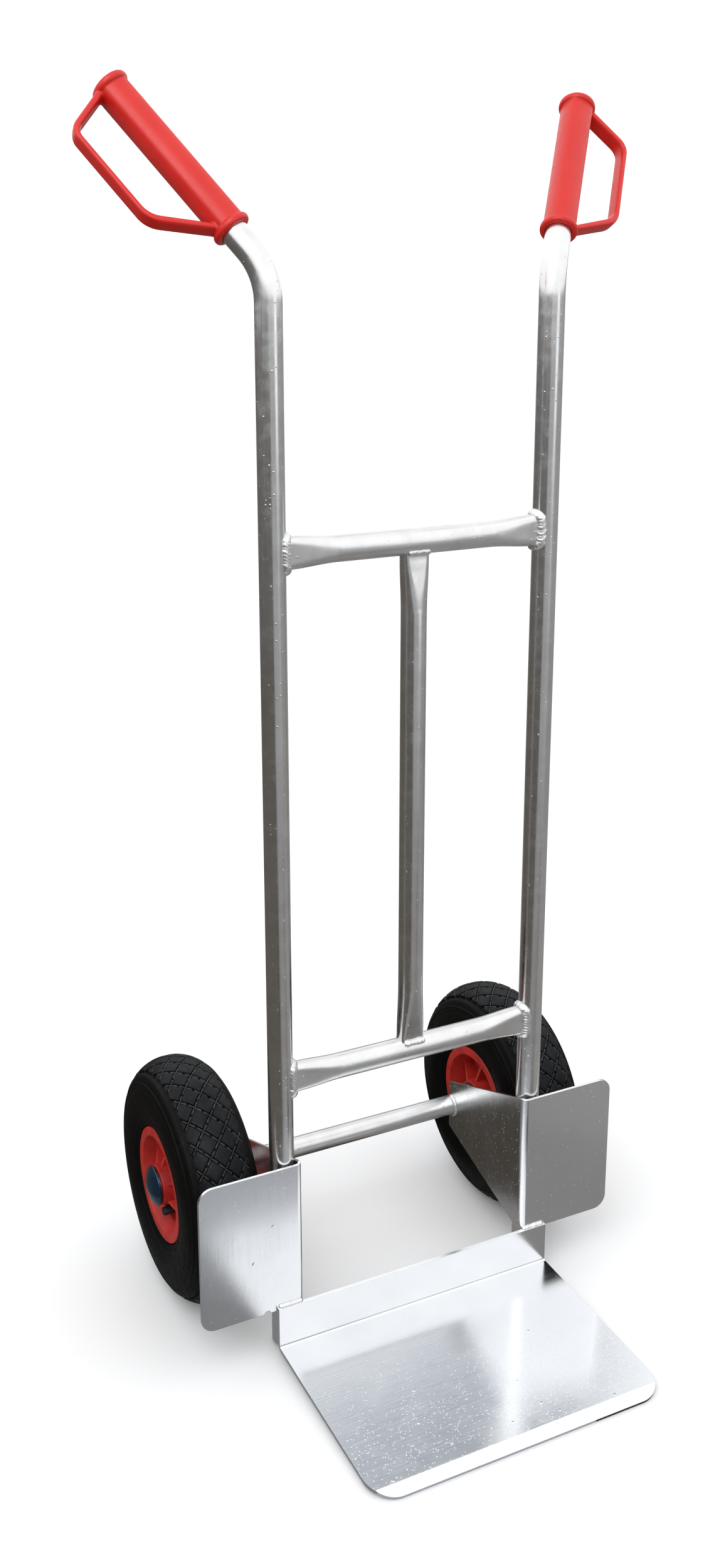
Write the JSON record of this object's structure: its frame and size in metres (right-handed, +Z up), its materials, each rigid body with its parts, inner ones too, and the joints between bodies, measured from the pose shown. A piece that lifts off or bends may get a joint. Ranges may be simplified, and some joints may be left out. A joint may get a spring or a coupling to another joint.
{
  "type": "hand truck",
  "caption": "Two-wheeled aluminium hand truck with a fixed toe plate, tubular back, deflector plates, guarded handle grips and air-filled tyres.",
  "frame": {"origin": "on the floor, under the middle of the truck's bounding box", "axes": "+Z up along the uprights, -Y forward over the toe plate, +X to the right seen from the front"},
  "size_m": [0.5772, 0.493, 1.2477],
  "materials": {
    "tube_aluminium": "bright drawn tube",
    "sheet_aluminium": "fine brushed sheet",
    "weld_metal": "rippled satin weld",
    "grip_plastic": "satin moulded red",
    "rim_plastic": "moulded red",
    "tyre_rubber": "black rubber",
    "valve_rubber": "black rubber",
    "valve_cap_plastic": "black plastic",
    "bush_nylon": "natural nylon",
    "zinc_steel": "zinc plated",
    "blue_cap": "dark blue coated steel"
  },
  "bodies": {
    "frame": {"left_upright_tube": "tube_aluminium", "right_upright_tube": "tube_aluminium", "upper_crossbar": "tube_aluminium", "lower_crossbar": "tube_aluminium", "centre_strut": "tube_aluminium", "axle_tube": "tube_aluminium", "left_deflector_plate": "sheet_aluminium", "right_deflector_plate": "sheet_aluminium", "toe_plate": "sheet_aluminium", "left_grip": "grip_plastic", "right_grip": "grip_plastic", "upper_crossbar_welds": "weld_metal", "lower_crossbar_welds": "weld_metal", "centre_strut_welds": "weld_metal", "deflector_welds": "weld_metal", "toe_plate_welds": "weld_metal", "axle_tube_welds": "weld_metal", "axle_rod": "zinc_steel", "inner_washers": "zinc_steel", "outer_washers": "zinc_steel", "left_hub_cap": "blue_cap", "right_hub_cap": "blue_cap"},
    "left_wheel": {"left_tyre": "tyre_rubber", "left_inner_tube": "valve_rubber", "left_rim_outer_half": "rim_plastic", "left_rim_inner_half": "rim_plastic", "left_hub_bushes": "bush_nylon", "left_valve_stem": "valve_rubber", "left_valve_cap": "valve_cap_plastic"},
    "right_wheel": {"right_tyre": "tyre_rubber", "right_inner_tube": "valve_rubber", "right_rim_outer_half": "rim_plastic", "right_rim_inner_half": "rim_plastic", "right_hub_bushes": "bush_nylon", "right_valve_stem": "valve_rubber", "right_valve_cap": "valve_cap_plastic"}
  },
  "joints": [
    {"name": "left_wheel_spin", "type": "hinge", "parent": "frame", "child": "left_wheel", "pos_m": [-0.197, 0.1165, 0.13], "axis": [1, 0, 0], "continuous": true},
    {"name": "right_wheel_spin", "type": "hinge", "parent": "frame", "child": "right_wheel", "pos_m": [0.197, 0.1165, 0.13], "axis": [1, 0, 0], "continuous": true}
  ]
}
